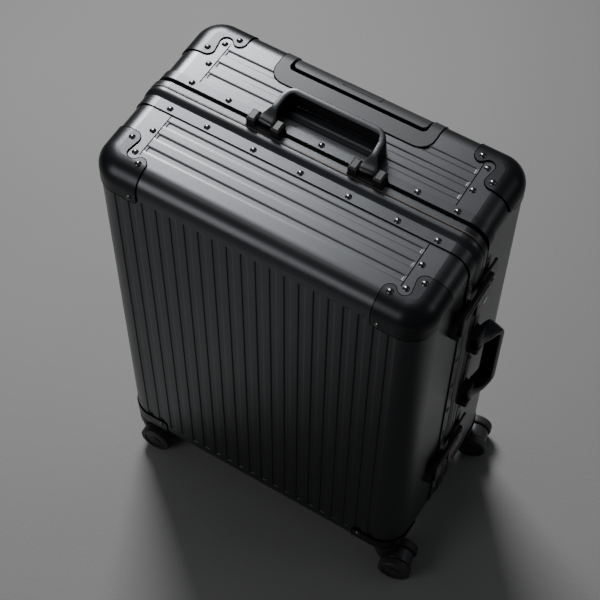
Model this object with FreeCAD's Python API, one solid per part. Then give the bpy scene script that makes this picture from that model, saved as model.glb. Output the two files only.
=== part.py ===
"""Aluminium-frame hard-shell suitcase on four twin-wheel casters, in millimetres.

Frame: +Z up, +X towards the locks, -Y towards the lid.  The origin is on the floor, under the
middle of the closed case; the parting plane between the two halves is y = 0.
"""
import FreeCAD, Part
import math
import os

from FreeCAD import Vector as V

os.makedirs("parts", exist_ok=True)

# ---- driving dimensions of the case ----
case_width = 450.0          # across the two side faces, X
front_depth = 133.0         # parting plane to the front face, Y
rear_depth = 137.0          # parting plane to the rear face
case_height = 640.0         # shell bottom to shell top, Z
ground_gap = 51.5           # floor to shell bottom
edge_radius = 26.0          # outer radius of the edges round the top and the bottom
corner_radius = 36.0        # outer radius of the four upright edges
sheet = 1.6                 # shell sheet
fit_gap = 0.3               # between pieces that lie on one another
parting = 0.4               # each half stops this far from y = 0

# pressed channels of the shells
channel_width = 8.8
channel_depth = 1.2
channel_end_radius = 2.0    # plan radius at a channel's ends
channel_foot_radius = 0.8   # where a channel's wall meets its floor
channel_pitch = 19.5        # vertical channels of the front and rear faces
channel_count = 20
face_channel_margin = 40.0  # from the end of a vertical channel to the case's top or bottom
top_channel_offsets = (44.0, 64.5, 86.0)    # from the parting plane, top and bottom faces
top_channel_half = 166.0

# frame profile, measured outwards from the shell's outer face
bead_height = 3.6
bead_width = 14.4           # front bead; the rear one is narrower
rear_bead_width = 9.8
flange_edge = 29.5          # flange's outer edge, from the parting plane
flange_start = 17.5
flange_height = 1.9
channel_floor = 0.9         # black channel beside the rear bead
crown_radius = 24.0         # front bead's slope down to its flange
crown_start = 6.5           # where that slope starts, in front of the parting plane
bead_round = 1.2
parting_round = 0.5
frame_inner = 9.0           # bead's inner face, inside the shell's outer face
leg = 1.5                   # inner leg thickness
seal_out = 5.0              # rubber seal, inside the shell's outer face
seal_in = 7.5
seal_depth = 2.5

# side sheets and corner protectors
seam_half = 174.0           # seam of the side sheets on the top and bottom faces
seam_gap = 1.0
protector_thickness = 1.2
protector_drop = 43.0       # down the front face
protector_span_x = 157.0    # its edge on the front face
protector_span_y = 69.0     # its edge on the side face
protector_slant = ((69.0, 21.0), (90.0, 34.0), (116.0, 43.0))  # side edge: |y| and drop
tongue = (180.0, 96.5)      # rivet in the tongue between the protector's two lobes
lobe_front = (167.0, 109.5)
lobe_side = (195.0, 80.7)
seam_rivet_y = 60.0
lobe_radius = 10.0
protector_rivet = (10.0, 7.0)   # front face rivet, in from the side edge and up from the lower one

# rivets
rivet_head_r = 4.2
rivet_head_h = 2.2
rivet_shank_r = 1.6
rivet_line = 23.5           # from the parting plane
rivet_pitch = 64.0
rivet_end_x = 180.0
rivet_end_z = 262.0

# trolley
bezel_half = 109.0
bezel_front = 80.0
bezel_thickness = 0.8
slot_half = 94.5
slot_front = 103.0
slot_depth = 26.0
bezel_corner = 20.0
slot_corner = 7.0
tray_wall = 2.0
grip_half = 91.0
grip_front = 110.0
grip_height = 22.0
tube_x = 72.0
tube_y = 117.0
outer_tube = (24.0, 15.0)   # fixed stage, X by Y
tube_wall = 1.2
middle_stroke = 200.0
inner_stroke = 200.0
tube_foot = 34.0            # foot of the fixed stage above the shell's bottom
button_half = 26.0
button_front = 118.0
button_back = 130.0
button_travel = 3.0
button_pocket_depth = 18.0

# carry handles
pivot_y = 11.5              # pivot line behind the parting plane
pivot_height = 11.5         # above the shell's outer face
ear_centres = (52.0, 85.0)
ear_width = 11.0
ear_depth = 19.0
ear_top = 17.5
handle_pin_r = 2.5
running = 0.06              # radial clearance of a running pin
handle_thickness = 10.0
handle_splay = 10.0         # how far each leg leans in
handle_corner = 14.0        # outer plan radius of the bar
handle_inner_corner = 6.0
handle_chamfer = 2.2
ear_base = 2.2
handle_bar = 14.0           # width of the grip bar, along its reach
handle_reach_top = 54.0
handle_reach_side = 42.0
handle_lean_top = 9.0       # degrees off the surface, as it lies
handle_lean_side = 16.0
side_handle_rise = 35.0     # its middle above the case's middle

# locks, on the right side
lock_heights = (205.0, -180.0)      # above the case's middle
plate_height = 80.0
plate_front = 1.0
plate_back = 44.0
plate_thickness = 3.6
latch_height = 17.0
latch_drop = 31.0           # latch centre above the plate's middle
latch_front = -54.0
latch_back = 22.0
latch_thickness = 5.6
latch_pivot_y = 16.0
latch_pin_r = 2.0
hook_drop = 22.0            # hook's tip below the bar
hook_width = 17.0
keeper_gap = 2.0            # under the hook, so that lid and latch can each move alone
keeper_front_gap = 3.0
keeper_lip = 10.6           # height of the lip in front of the hook
keeper_rail = 2.6
dial_radius = 6.0
dial_width = 4.4
dial_pitch = 5.0
dial_pin_r = 1.5
dial_wall = 1.2             # box behind the plate that holds the dials
dial_rise = 1.0             # dial above the plate's face
dial_y = 33.0
key_radius = 4.5
dial_above = 2.0            # dials, key and indicator, from the plate's middle
key_y = 22.0
key_above = -26.0
lamp_y = 8.0
lamp_above = -24.0
lamp_radius = 3.0

# hinges, on the left side
hinge_offset = 8.0          # axis outside the side face
knuckle_r = 4.0
hinge_pin_r = 2.0
hinge_length = 66.0
hinge_rivet = 21.0          # leaf rivets above and below each hinge's middle
hinge_heights = (-210.0, 0.0, 210.0)
leaf = 1.4
foot_radius = 9.0
foot_height = 13.5          # stands the case clear of its hinges
foot_y = 82.0
foot_z = 205.0

# casters
wheel_radius = 24.0
wheel_width = 13.0
wheel_gap = 11.0            # inner face of each wheel from the caster's middle
fork_half = 10.0
fork_radius = 21.0
trail = 21.0
pivot_x = 204.0
pivot_back = 116.0
axle_r = 3.0
stem_r = 4.0
boss_r = 9.4
boss_bottom = 38.0
stem_length = 9.0
housing_r = 15.4
housing_bottom = 49.0
housing_height = 21.0
socket_rim = 0.9            # how far it may stand outside the case's outline
dish_r = 17.0
dish_depth = 1.6
hub_r = 7.5
caster_angles = {"front_right": 12.0, "rear_right": 14.0, "front_left": 4.0, "rear_left": 8.0}

# lining and straps
lining = 1.5
lining_gap = 1.2
strap_width = 38.0
strap_thickness = 1.4
strap_y = 22.0              # from the parting plane
strap_rise = 215.0
buckle_half = 30.0
buckle_thickness = 6.0

half_w = case_width / 2
z_bottom = ground_gap
z_top = ground_gap + case_height
z_mid = ground_gap + case_height / 2


def export(name, shape):
    """Write one node, a solid or a group of separate solids."""
    if isinstance(shape, (list, tuple)):
        shape = Part.makeCompound(list(shape))
    print(name, len(shape.Solids), round(shape.Volume), shape.isValid())
    shape.exportStep("parts/" + name + ".step")


def fuse(shapes):
    """One shape from many that overlap or touch."""
    first = shapes[0]
    return first.multiFuse(shapes[1:]).removeSplitter() if len(shapes) > 1 else first


def box(low, high):
    return Part.makeBox(high[0] - low[0], high[1] - low[1], high[2] - low[2], V(*low))


def rod(radius, start, end):
    """Cylinder between two points."""
    start, end = V(*start), V(*end)
    return Part.makeCylinder(radius, (end - start).Length, start, end - start)


def flat_edges(shape, axis, value, tolerance=0.01):
    """Edges that lie wholly in the plane axis = value."""
    low, high = axis + "Min", axis + "Max"
    return [e for e in shape.Edges
            if abs(getattr(e.BoundBox, low) - value) < tolerance
            and abs(getattr(e.BoundBox, high) - value) < tolerance]


def parallel_edges(shape, direction):
    """Straight edges that run along a direction."""
    found = []
    for edge in shape.Edges:
        if isinstance(edge.Curve, Part.Line):
            if abs(edge.tangentAt(edge.FirstParameter) * direction) > 0.999:
                found.append(edge)
    return found


def mirror_y(shape):
    return shape.mirror(V(0, 0, 0), V(0, 1, 0))


def mirror_x(shape):
    return shape.mirror(V(0, 0, 0), V(1, 0, 0))


def mirror_z(shape):
    return shape.mirror(V(0, 0, z_mid), V(0, 0, 1))


def full_case(offset, depth):
    """Closed case as a rounded block, its faces moved out by offset, both halves this deep."""
    block = box((-half_w - offset, -depth - offset, z_bottom - offset),
                (half_w + offset, depth + offset, z_top + offset))
    block = block.makeFillet(corner_radius + offset, parallel_edges(block, V(0, 0, 1)))
    rims = flat_edges(block, "Z", z_top + offset) + flat_edges(block, "Z", z_bottom - offset)
    return block.makeFillet(edge_radius + offset, rims)


def slab(offset, y0, y1):
    """Slice of the case's outline moved out by offset, from y0 to y1."""
    block = box((-half_w - offset, y0, z_bottom - offset), (half_w + offset, y1, z_top + offset))
    return block.makeFillet(edge_radius + offset, parallel_edges(block, V(0, 1, 0)))


def ring(outside, inside, y0, y1):
    """Band around the case between two offsets of its outline, from y0 to y1."""
    return slab(outside, y0, y1).cut(slab(inside, y0, y1))


def channel(start, end, outward, grow):
    """Tool for one flat-floored channel of a face; grow widens and deepens it by the sheet."""
    start, end = V(*start), V(*end)
    along = (end - start).normalize()
    across = along.cross(outward)
    reach = (along + across) * (channel_width / 2 + grow)
    floor = outward * (channel_depth + grow)
    first, last = start - reach - floor, end + reach + outward * channel_width
    low = tuple(map(min, first, last))
    high = tuple(map(max, first, last))
    block = box(low, high)
    tool = block.makeFillet(channel_end_radius + grow, parallel_edges(block, outward))
    axis = "Y" if abs(outward.y) > 0.5 else "Z"
    level = first.y if axis == "Y" else first.z
    return tool.makeFillet(channel_foot_radius + grow, flat_edges(tool, axis, level))


def channel_tools(grow, depth):
    """All pressed channels of a front half this deep."""
    tools = []
    for index in range(channel_count):
        x = (index - (channel_count - 1) / 2) * channel_pitch
        tools.append(channel((x, -depth, z_bottom + face_channel_margin),
                             (x, -depth, z_top - face_channel_margin), V(0, -1, 0), grow))
    for y in top_channel_offsets:
        for z, out in ((z_top, V(0, 0, 1)), (z_bottom, V(0, 0, -1))):
            tools.append(channel((-top_channel_half, -y, z), (top_channel_half, -y, z), out, grow))
    return tools


def rivet_places():
    """Frame rivets of the front half, as (point, outward direction)."""
    places = []
    xs = [0.0, rivet_pitch, 2 * rivet_pitch, rivet_end_x]
    zs = [rivet_pitch * (n + 0.5) for n in range(4)] + [rivet_end_z]
    for x in sorted(set(xs + [-x for x in xs])):
        for z, out in ((z_top, V(0, 0, 1)), (z_bottom, V(0, 0, -1))):
            places.append((V(x, -rivet_line, z), out))
    for z in sorted(set(zs + [-z for z in zs])):
        for side in (1, -1):
            places.append((V(side * half_w, -rivet_line, z_mid + z), V(side, 0, 0)))
    return places


def rivet(place, out, seat):
    """Domed rivet: its head on a face that stands seat above the shell, its shank through both."""
    sphere_r = (rivet_head_r ** 2 + rivet_head_h ** 2) / (2 * rivet_head_h)
    base = place + out * seat
    ball = Part.makeSphere(sphere_r, base - out * (sphere_r - rivet_head_h))
    keep = Part.makeCylinder(rivet_head_r + 1, rivet_head_h + 1, base, out)
    head = ball.common(keep)
    shank = Part.makeCylinder(rivet_shank_r, seat + sheet + 0.6, place - out * (sheet + 0.6), out)
    return head.fuse(shank).removeSplitter()


def rivet_holes(places, clearance=0.1):
    return [Part.makeCylinder(rivet_shank_r + clearance, 16, place - out * 8, out) for place, out in places]


# ---- halves: shell, side sheets and corner protectors ----
def around_corners(places):
    """Repeat a corner's rivets at the left and at the bottom."""
    result = []
    for place, out in places:
        for sx in (1, -1):
            for flip in (1, -1):
                z = place.z if flip > 0 else 2 * z_mid - place.z
                result.append((V(sx * place.x, place.y, z), V(sx * out.x, out.y, flip * out.z)))
    return result


def four(shape):
    """A corner piece at right and left, top and bottom, of one half."""
    pair = [shape, mirror_x(shape)]
    return pair + [mirror_z(s) for s in pair]


def side_zone(side, gap, depth):
    """Everything beyond the seam and behind the front edge's curve."""
    low_x, high_x = sorted((side * (seam_half - gap), side * (half_w + 5)))
    return box((low_x, -depth + corner_radius, z_bottom - 5), (high_x, 5, z_top + 5))


def protector_outline(depth):
    """Plan outline of one top protector: two lobes around a tongue, then the case's corner."""
    x0, y0 = protector_span_x, protector_span_y
    far_x, far_y = half_w + 10, depth + 10
    lobe_a, lobe_b, notch = V(*lobe_front), V(*lobe_side), V(*tongue)
    r = lobe_radius
    diagonal = V(-r * math.sqrt(0.5), -r * math.sqrt(0.5))
    p1 = V(x0, far_y)
    p2 = V(x0, lobe_a.y)
    p3 = V(lobe_a.x, lobe_a.y - r)
    p4 = V(notch.x - 8.5, notch.y + 5.5)
    p5 = V(notch.x + 8.0, notch.y + 1.0)
    mid_notch = notch + V(-0.5, 11.0)
    p6 = V(lobe_b.x - r, lobe_b.y)
    p7 = V(lobe_b.x, lobe_b.y - r)
    p8 = V(far_x, y0)
    p9 = V(far_x, far_y)
    edges = [
        Part.LineSegment(p1, p2), Part.Arc(p2, lobe_a + diagonal, p3), Part.LineSegment(p3, p4),
        Part.Arc(p4, mid_notch, p5), Part.LineSegment(p5, p6), Part.Arc(p6, lobe_b + diagonal, p7),
        Part.LineSegment(p7, p8), Part.LineSegment(p8, p9), Part.LineSegment(p9, p1),
    ]
    return Part.Face(Part.Wire([e.toShape() for e in edges]))


def rounded_prism(low, high, direction, radius):
    """Block with its edges along a direction rounded."""
    block = box(low, high)
    return block.makeFillet(radius, parallel_edges(block, direction))


def protector(depth):
    """Top, right, front protector as a skin over the shell."""
    far = 60.0
    plan = mirror_y(protector_outline(depth).extrude(V(0, 0, protector_drop + far)))
    plan.translate(V(0, 0, z_top - protector_drop))
    front_view = rounded_prism((protector_span_x, -depth - far, z_top - protector_drop),
                               (half_w + far, depth, z_top + 2 * far), V(0, 1, 0), 4)
    slant = [V(0, -y, z_top - drop) for y, drop in protector_slant]
    outline = [V(0, -protector_span_y, z_top + far)] + slant
    outline += [V(0, -depth - far, z_top - protector_drop), V(0, -depth - far, z_top + far)]
    side_view = Part.Face(Part.makePolygon(outline + outline[:1])).extrude(V(half_w + far, 0, 0))
    skin = full_case(fit_gap + protector_thickness, depth).cut(full_case(fit_gap, depth))
    return skin.common(plan.common(front_view).common(side_view))


frame_places = rivet_places()
hinge_places = [(V(-half_w, -rivet_line, z_mid + h + s * hinge_rivet), V(-1, 0, 0))
                for h in hinge_heights for s in (-1, 1)]
frame_places = [(p, out) for p, out in frame_places if out.x > -0.5
                or min(abs(p.z - z_mid - h) for h in hinge_heights) > hinge_length / 2 + rivet_head_r]
frame_holes = rivet_holes(frame_places + hinge_places)
protector_seat = fit_gap + protector_thickness


def half_case(depth):
    """Shell, two side sheets, four protectors and the corners' rivets of a front half this deep.

    The shell is one pressed sheet: its inner face follows every channel at the sheet's thickness.
    """
    zone = box((-half_w - 5, -depth - 5, z_bottom - 5), (half_w + 5, -bead_width - fit_gap, z_top + 5))
    skin_out = full_case(0, depth).common(zone).cut(Part.makeCompound(channel_tools(0, depth)))
    skin_in = full_case(-sheet, depth).common(zone).cut(Part.makeCompound(channel_tools(sheet, depth)))
    up = V(0, 0, 1)
    seated = [(V(lobe_front[0], -lobe_front[1], z_top), up, protector_seat),
              (V(lobe_side[0], -lobe_side[1], z_top), up, protector_seat),
              (V(tongue[0], -tongue[1], z_top), up, 0.0),
              (V(tongue[0], -seam_rivet_y, z_top), up, 0.0),
              (V(protector_span_x + protector_rivet[0], -depth,
                 z_top - protector_drop + protector_rivet[1]), V(0, -1, 0), protector_seat)]
    places = [(point, out) for point, out, seat in seated]
    holes = frame_holes + rivet_holes(around_corners(places))
    drilled = skin_out.cut(skin_in).cut(Part.makeCompound(holes))
    shell = drilled.cut(side_zone(1, seam_gap, depth)).cut(side_zone(-1, seam_gap, depth))
    sheets = [drilled.common(side_zone(side, 0, depth)) for side in (1, -1)]
    corners = four(protector(depth).cut(Part.makeCompound(rivet_holes(places))))
    rivets = []
    for point, out, seat in seated:
        rivets += four(rivet(point, out, seat))
    return shell, sheets, corners, rivets


front_shell, side_sheets, front_corners, front_corner_rivets = half_case(front_depth)
deep_half = half_case(rear_depth)

# ---- frames ----
def rear_bead(y0, y1):
    """Flat bead beside the parting plane, its two rims rounded, down to the frame's inner face."""
    block = slab(bead_height, y0, y1)
    block = block.makeFillet(parting_round, flat_edges(block, "Y", y0))
    block = block.makeFillet(bead_round, flat_edges(block, "Y", y1))
    return block.cut(slab(-frame_inner, y0 - 1, y1 + 1))


def front_bead():
    """Bead of the lid: flat beside the parting plane, then curving down to the flange."""
    start = -crown_start - crown_radius
    block = slab(bead_height, start, -parting)
    block = block.makeFillet(crown_radius, flat_edges(block, "Y", start))
    block = block.makeFillet(parting_round, flat_edges(block, "Y", -parting))
    behind = box((-half_w - 20, -bead_width, z_bottom - 20), (half_w + 20, 0, z_top + 20))
    return block.common(behind).cut(slab(-frame_inner, start - 1, 1))


inner_face = sheet + fit_gap
front_frame = fuse([
    front_bead(),
    ring(flange_height, fit_gap, -flange_edge, -bead_width + bead_round),
    ring(-inner_face, -inner_face - leg, -flange_edge, -bead_width + 1),
]).cut(Part.makeCompound(frame_holes))
rear_places = [(V(p.x, -p.y, p.z), V(out.x, -out.y, out.z)) for p, out in frame_places]
rear_bead_end = parting + rear_bead_width
rear_frame = fuse([
    rear_bead(parting, rear_bead_end),
    ring(channel_floor, -frame_inner, rear_bead_end - bead_round, bead_width),
    ring(channel_floor, fit_gap, bead_width - 0.5, flange_start + 0.5),
    ring(flange_height, fit_gap, flange_start, flange_edge),
    ring(-inner_face, -inner_face - leg, bead_width - 1, flange_edge),
]).cut(Part.makeCompound([mirror_y(h) for h in frame_holes]))
seal_groove = ring(-seal_out + 0.3, -seal_in - 0.3, -seal_depth - 0.3, 0)
front_frame = front_frame.cut(seal_groove)
seal = ring(-seal_out, -seal_in, -seal_depth, parting)


def frame_rivets(places, skip):
    """Rivets through the flange, except where a fitting covers them."""
    return [rivet(p, out, flange_height) for p, out in places if not skip(p, out)]


def under_locks(point, out):
    """True where a lock plate or the side handle covers the right-hand rivet line."""
    if out.x < 0.5:
        return False
    covered = [(z_mid + h, plate_height / 2 + 6) for h in lock_heights]
    return any(abs(point.z - z) < half for z, half in covered)


def under_keepers(point, out):
    return out.x > 0.5 and any(abs(point.z - z_mid - h) < plate_height / 2 for h in lock_heights)


leaf_seat = bead_height + fit_gap + leaf
front_rivets = frame_rivets(frame_places, under_keepers) + front_corner_rivets
front_rivets += [rivet(p, out, leaf_seat) for p, out in hinge_places]

# ---- rear half ----
# The mirror image of a front one, with a notch at its top edge for the trolley's grip.
def notch(grow, depth):
    """Room for the grip at the top rear edge, open upwards and to the rear."""
    low = (-slot_half - grow, slot_front - grow, z_top - depth)
    high = (slot_half + grow, rear_depth + 30, z_top + 30)
    block = box(low, high)
    inner = [e for e in parallel_edges(block, V(0, 0, 1)) if e.BoundBox.YMax < slot_front + 1]
    return block.makeFillet(slot_corner + grow, inner)


tray_outer = notch(tray_wall, slot_depth + tray_wall)
shell_notch = notch(tray_wall + fit_gap, slot_depth + tray_wall + fit_gap)
rear_shell, rear_side_sheets, rear_corners, rear_corner_rivets = [
    [mirror_y(piece) for piece in group] if isinstance(group, list) else mirror_y(group)
    for group in deep_half]
rear_shell = rear_shell.cut(shell_notch)
rear_rivets = frame_rivets(rear_places, under_locks) + rear_corner_rivets
rear_rivets += [mirror_y(rivet(p, out, leaf_seat)) for p, out in hinge_places]

# ---- trolley ----
bezel_zone = rounded_prism((-bezel_half, bezel_front, z_top - slot_depth - tray_wall - 8),
                           (bezel_half, rear_depth + 30, z_top + 60), V(0, 0, 1), bezel_corner)
bezel_outside = full_case(fit_gap + bezel_thickness, rear_depth)
bezel_skin = bezel_outside.cut(full_case(fit_gap, rear_depth)).common(bezel_zone)
tray = tray_outer.cut(notch(0, slot_depth)).common(bezel_outside)
trolley_bezel = bezel_skin.cut(tray_outer).fuse(tray)


def tube_section(level, grow=0.0):
    """Outside size of a trolley stage: 0 fixed, 1 middle, 2 inner."""
    shrink = 2 * level * (tube_wall + fit_gap)
    return outer_tube[0] - shrink + 2 * grow, outer_tube[1] - shrink + 2 * grow


def tube(level, z0, z1, side):
    """One hollow stage, its long edges rounded."""
    width, depth = tube_section(level)
    x = side * tube_x
    outside = box((x - width / 2, tube_y - depth / 2, z0), (x + width / 2, tube_y + depth / 2, z1))
    outside = outside.makeFillet(2.4, parallel_edges(outside, V(0, 0, 1)))
    inside = box((x - width / 2 + tube_wall, tube_y - depth / 2 + tube_wall, z0 - 1),
                 (x + width / 2 - tube_wall, tube_y + depth / 2 - tube_wall, z1 + 1))
    inside = inside.makeFillet(1.2, parallel_edges(inside, V(0, 0, 1)))
    return outside.cut(inside)


def tube_hole(level, z0, z1, side, grow):
    width, depth = tube_section(level, grow)
    x = side * tube_x
    return box((x - width / 2, tube_y - depth / 2, z0), (x + width / 2, tube_y + depth / 2, z1))


tray_floor = z_top - slot_depth
fixed_top = tray_floor - tray_wall
fixed_foot = z_bottom + tube_foot
sides = (-1, 1)
trolley_bezel = trolley_bezel.cut(Part.makeCompound(
    [tube_hole(1, fixed_top - 1, tray_floor + 1, s, fit_gap) for s in sides]))
outer_tubes = [tube(0, fixed_foot, fixed_top, s) for s in sides]
middle_tubes = [tube(1, fixed_foot + 10, tray_floor + 0.5, s) for s in sides]
grip_bottom = z_top - grip_height
inner_tubes = [tube(2, fixed_foot + 20, grip_bottom, s) for s in sides]
foot_plate = box((-tube_x - 22, tube_y - outer_tube[1] / 2 - 3, fixed_foot - 3),
                 (tube_x + 22, tube_y + outer_tube[1] / 2 + 3, fixed_foot + 14))
foot_plate = foot_plate.makeFillet(3, parallel_edges(foot_plate, V(0, 1, 0)))
foot_legs = [box((s * tube_x - 9, tube_y - 7, z_bottom + sheet + channel_depth + 0.4),
                 (s * tube_x + 9, tube_y + 7, fixed_foot)) for s in sides]
trolley_foot = fuse([foot_plate] + foot_legs).cut(Part.makeCompound(
    [tube_hole(0, fixed_foot, fixed_foot + 20, s, 0.05) for s in sides]))
trolley_foot = trolley_foot.common(full_case(-sheet - channel_depth - 0.4, rear_depth))

grip_zone = rounded_prism((-grip_half, grip_front, grip_bottom), (grip_half, rear_depth + 20, z_top + 20),
                          V(0, 0, 1), 6)
grip_body = full_case(-0.4, rear_depth).common(grip_zone)
pocket_floor = z_top - button_pocket_depth
button_pocket = box((-button_half - fit_gap, button_front - fit_gap, pocket_floor),
                    (button_half + fit_gap, button_back + fit_gap, z_top + 5))
trolley_grip = grip_body.cut(button_pocket)
button_zone = rounded_prism((-button_half, button_front, pocket_floor + button_travel + 0.4),
                            (button_half, button_back, z_top + 5), V(0, 0, 1), 3)
trolley_button = full_case(0, rear_depth).common(button_zone)


# ---- carry handles ----
# A bridge of one flat bar: two legs that lean together, a straight grip, and a barrel at each foot.
def bridge(reach):
    """Handle lying along +Y from its pivot line, the X axis, its thickness along Z."""
    inner_ear, outer_ear = ear_centres
    foot_out = outer_ear - ear_width / 2 - fit_gap
    foot_in = inner_ear + ear_width / 2 + fit_gap
    top_out = foot_out - handle_splay
    top_in = foot_in - handle_splay
    bar = reach - handle_bar
    straight = ear_depth / 2 + 2.5
    inside = [V(foot_in, 0), V(foot_in, straight), V(top_in, bar)]
    outside = [V(top_out, reach), V(foot_out, straight), V(foot_out, 0)]
    outline = [V(-p.x, p.y) for p in outside[::-1]] + outside
    outline += inside + [V(-p.x, p.y) for p in inside[::-1]]
    face = Part.Face(Part.makePolygon(outline + outline[:1]))
    body = face.extrude(V(0, 0, handle_thickness))
    body.translate(V(0, 0, -handle_thickness / 2))
    uprights = parallel_edges(body, V(0, 0, 1))
    body = body.makeFillet(handle_corner, [e for e in uprights if e.BoundBox.YMin > reach - 1])
    uprights = parallel_edges(body, V(0, 0, 1))
    body = body.makeFillet(handle_inner_corner, [e for e in uprights if abs(e.BoundBox.YMin - bar) < 0.01
                                                 and abs(e.BoundBox.XMin) < top_in + 1])
    rims = flat_edges(body, "Z", handle_thickness / 2) + flat_edges(body, "Z", -handle_thickness / 2)
    body = body.makeChamfer(handle_chamfer, [e for e in rims if e.BoundBox.YMax > 1])
    barrels = [rod(handle_thickness / 2, (s * foot_in, 0, 0), (s * foot_out, 0, 0)) for s in sides]
    body = fuse([body] + barrels)
    return body.cut(rod(handle_pin_r + running, (-foot_out - 5, 0, 0), (foot_out + 5, 0, 0)))


def ears():
    """Four ears on two base plates and their two pins, round the pivot line; the base is at -Z."""
    inner_ear, outer_ear = ear_centres
    base_low = -pivot_height + bead_height + fit_gap
    parts = []
    pins = []
    for s in sides:
        low_x, high_x = sorted((s * (inner_ear - ear_width / 2 - 1.5),
                                s * (outer_ear + ear_width / 2 + 1.5)))
        y0 = -ear_depth / 2
        plate = rounded_prism((low_x, y0, base_low), (high_x, -y0, base_low + ear_base), V(0, 0, 1), 2)
        blocks = [plate]
        for centre in ear_centres:
            x0, x1 = sorted((s * centre - ear_width / 2, s * centre + ear_width / 2))
            block = box((x0, y0 + 1, base_low), (x1, -y0 - 1, ear_top - pivot_height))
            blocks.append(block.makeChamfer(2.2, flat_edges(block, "Z", ear_top - pivot_height)))
        mount = fuse(blocks)
        x_low, x_high = sorted((s * (inner_ear - ear_width / 2 + 2),
                                s * (outer_ear + ear_width / 2 - 2)))
        parts.append(mount.cut(rod(handle_pin_r + 0.02, (x_low - 0.3, 0, 0), (x_high + 0.3, 0, 0))))
        pins.append(rod(handle_pin_r, (x_low, 0, 0), (x_high, 0, 0)))
    return parts, pins


def place(shape, side, lean=0.0):
    """Carry a shape from the pivot's own axes to the top face or to the right side face."""
    copy = shape.copy()
    copy.rotate(V(0, 0, 0), V(1, 0, 0), lean)
    if side == "right":
        copy.rotate(V(0, 0, 0), V(0, 1, 0), 90)
        copy.translate(V(half_w + pivot_height, pivot_y, z_mid + side_handle_rise))
    else:
        copy.translate(V(0, pivot_y, z_top + pivot_height))
    return copy


mounts, pins = ears()
top_mount = [place(m, "top") for m in mounts]
side_mount = [place(m, "right") for m in mounts]
handle_pins = [place(p, side) for side in ("top", "right") for p in pins]
top_handle = place(bridge(handle_reach_top), "top", handle_lean_top)
side_handle = place(bridge(handle_reach_side), "right", handle_lean_side)

# ---- locks ----
# Each lock is a plate on the rear frame with three dials and a key, and a latch bar across the
# parting whose hook drops behind a keeper on the front flange.
plate_x = half_w + bead_height + fit_gap
plate_face = plate_x + plate_thickness
latch_x0 = plate_face + fit_gap
latch_x1 = latch_x0 + latch_thickness
dial_axis_x = plate_face + dial_rise - dial_radius


def dial_centres(height):
    return [V(dial_axis_x, dial_y + (n - 1) * dial_pitch, z_mid + height + dial_above) for n in range(3)]


def lock_plate(height):
    """Plate with the dials' window, the key's hole, the indicator's seat and the latch's post."""
    z = z_mid + height
    plate = box((plate_x, plate_front, z - plate_height / 2), (plate_face, plate_back, z + plate_height / 2))
    plate = plate.makeFillet(6, parallel_edges(plate, V(1, 0, 0)))
    plate = plate.makeFillet(1, flat_edges(plate, "X", plate_face))
    dials = dial_centres(height)
    y0 = dials[0].y - dial_width / 2 - 0.4
    y1 = dials[2].y + dial_width / 2 + 0.4
    reach = dial_radius + 0.5
    box_low = dial_axis_x - reach
    window = box((box_low, y0, dials[0].z - reach), (plate_face + 1, y1, dials[0].z + reach))
    housing = box((box_low - dial_wall, y0 - dial_wall, dials[0].z - reach - dial_wall),
                  (plate_x + 1, y1 + dial_wall, dials[0].z + reach + dial_wall))
    key_z = z + key_above
    lamp_z = z + lamp_above
    key = rod(key_radius + running, (plate_x - 1, key_y, key_z), (plate_face + 1, key_y, key_z))
    lamp = rod(lamp_radius + 0.1, (plate_face - 2, lamp_y, lamp_z), (plate_face + 1, lamp_y, lamp_z))
    post = rod(latch_pin_r, (plate_x + 1, latch_pivot_y, z + latch_drop),
               (latch_x1 + 1, latch_pivot_y, z + latch_drop))
    spindle = rod(dial_pin_r, (dial_axis_x, y0 - 0.5, dials[0].z), (dial_axis_x, y1 + 0.5, dials[0].z))
    return fuse([fuse([plate, housing]).cut(Part.makeCompound([window, key, lamp])), post, spindle])


def housing_pocket(height):
    """Room for a lock's dial box and key in the frame and the side sheet."""
    centre = dial_centres(height)[1]
    half_y = dial_pitch + dial_width / 2 + 0.4 + dial_wall + fit_gap
    half_z = dial_radius + 0.5 + dial_wall + fit_gap
    dials = box((half_w - 20, centre.y - half_y, centre.z - half_z),
                (half_w + 10, centre.y + half_y, centre.z + half_z))
    z = z_mid + height + key_above
    return dials.fuse(rod(key_radius + 0.6, (half_w - 12, key_y, z), (half_w + 10, key_y, z)))


def dial(centre):
    """One number wheel with ten shallow flats."""
    body = rod(dial_radius, (centre.x, centre.y - dial_width / 2, centre.z),
               (centre.x, centre.y + dial_width / 2, centre.z))
    bore = rod(dial_pin_r + running, (centre.x, centre.y - 5, centre.z), (centre.x, centre.y + 5, centre.z))
    notches = []
    for n in range(10):
        angle = 2 * math.pi * (n + 0.5) / 10
        x = centre.x + (dial_radius + 0.7) * math.cos(angle)
        z = centre.z + (dial_radius + 0.7) * math.sin(angle)
        notches.append(rod(1.0, (x, centre.y - 5, z), (x, centre.y + 5, z)))
    return body.cut(Part.makeCompound(notches + [bore]))


def key_cylinder(height):
    """Turning plug with a key slot, its face just proud of the plate."""
    z = z_mid + height + key_above
    plug = rod(key_radius, (plate_x - 9, key_y, z), (plate_face + 0.6, key_y, z))
    slot = box((plate_face - 6, key_y - 0.6, z - 2.8), (plate_face + 2, key_y + 0.6, z + 2.8))
    return plug.cut(slot)


def indicator(height):
    z = z_mid + height + lamp_above
    return rod(lamp_radius, (plate_face - 1.9, lamp_y, z), (plate_face + 0.3, lamp_y, z))


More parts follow.
